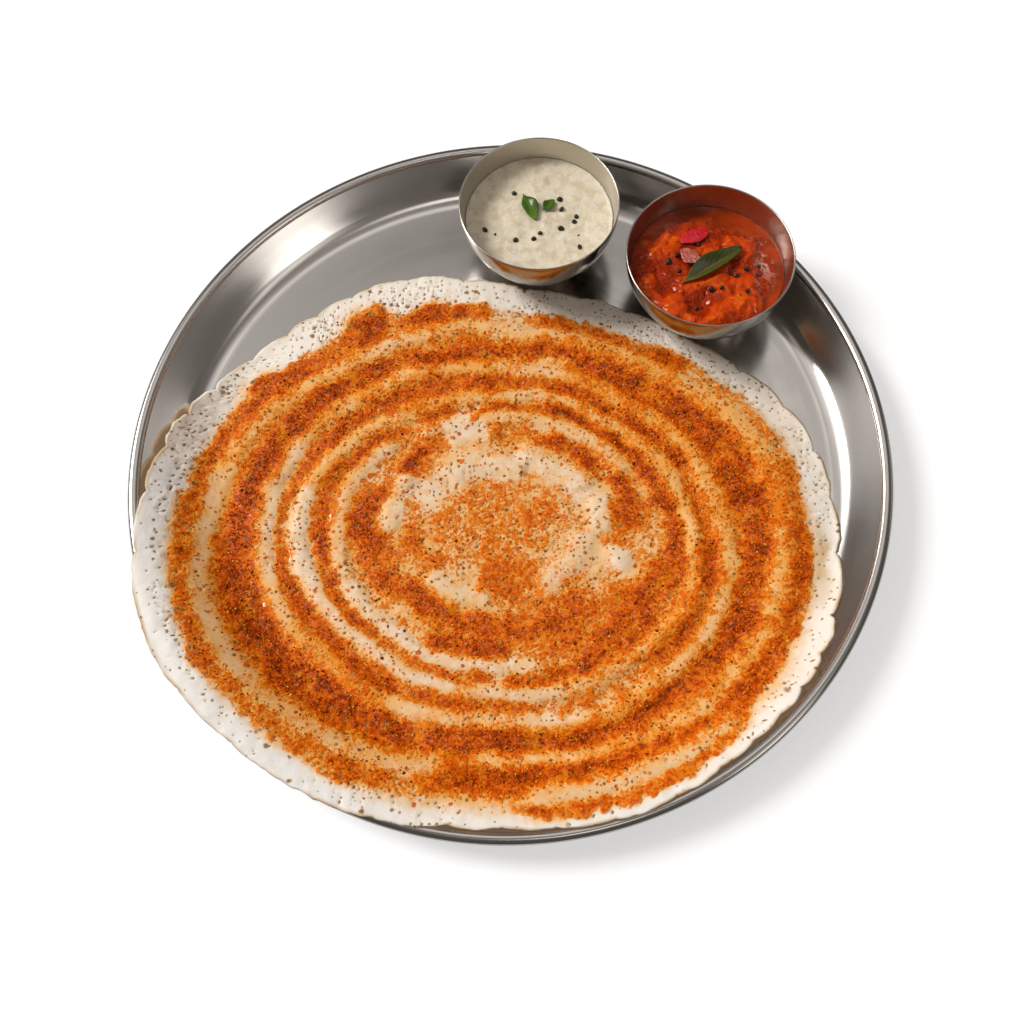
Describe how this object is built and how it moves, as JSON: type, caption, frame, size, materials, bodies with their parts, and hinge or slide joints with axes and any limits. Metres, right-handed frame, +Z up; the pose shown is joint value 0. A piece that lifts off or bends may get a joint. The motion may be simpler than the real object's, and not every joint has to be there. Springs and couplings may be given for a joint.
{
  "type": "plated ghee podi dosa",
  "caption": "Round crisp dosa dusted with red spice podi, lying in a shallow steel plate with a bowl of coconut and a bowl of tomato chutney.",
  "frame": {"origin": "middle of the plate's underside, on the surface that it stands on", "axes": "+Z up; +Y away from the eater, to the side where the bowls stand; +X to the right"},
  "size_m": [0.33, 0.33, 0.0361],
  "materials": {
    "steel": "polished stainless steel with fine turning marks and wiping streaks",
    "batter": "crisp fried rice batter, pale and pored, with a coarse red spice powder and ghee",
    "coconut": "finely ground wet coconut paste",
    "tomato": "coarse wet paste with oil on it",
    "leaf": "fried waxy leaf",
    "onion": "soft wet translucent onion",
    "tomato_skin": "wet cooked tomato skin"
  },
  "bodies": {
    "root": {"plate": "steel", "dosa": "batter", "coconut_bowl": "steel", "tomato_bowl": "steel", "coconut_chutney": "coconut", "tomato_chutney": "tomato", "curry_leaf_large": "leaf", "curry_leaf_left": "leaf", "curry_leaf_right": "leaf", "onion_piece": "onion", "tomato_piece": "tomato_skin"}
  },
  "joints": []
}
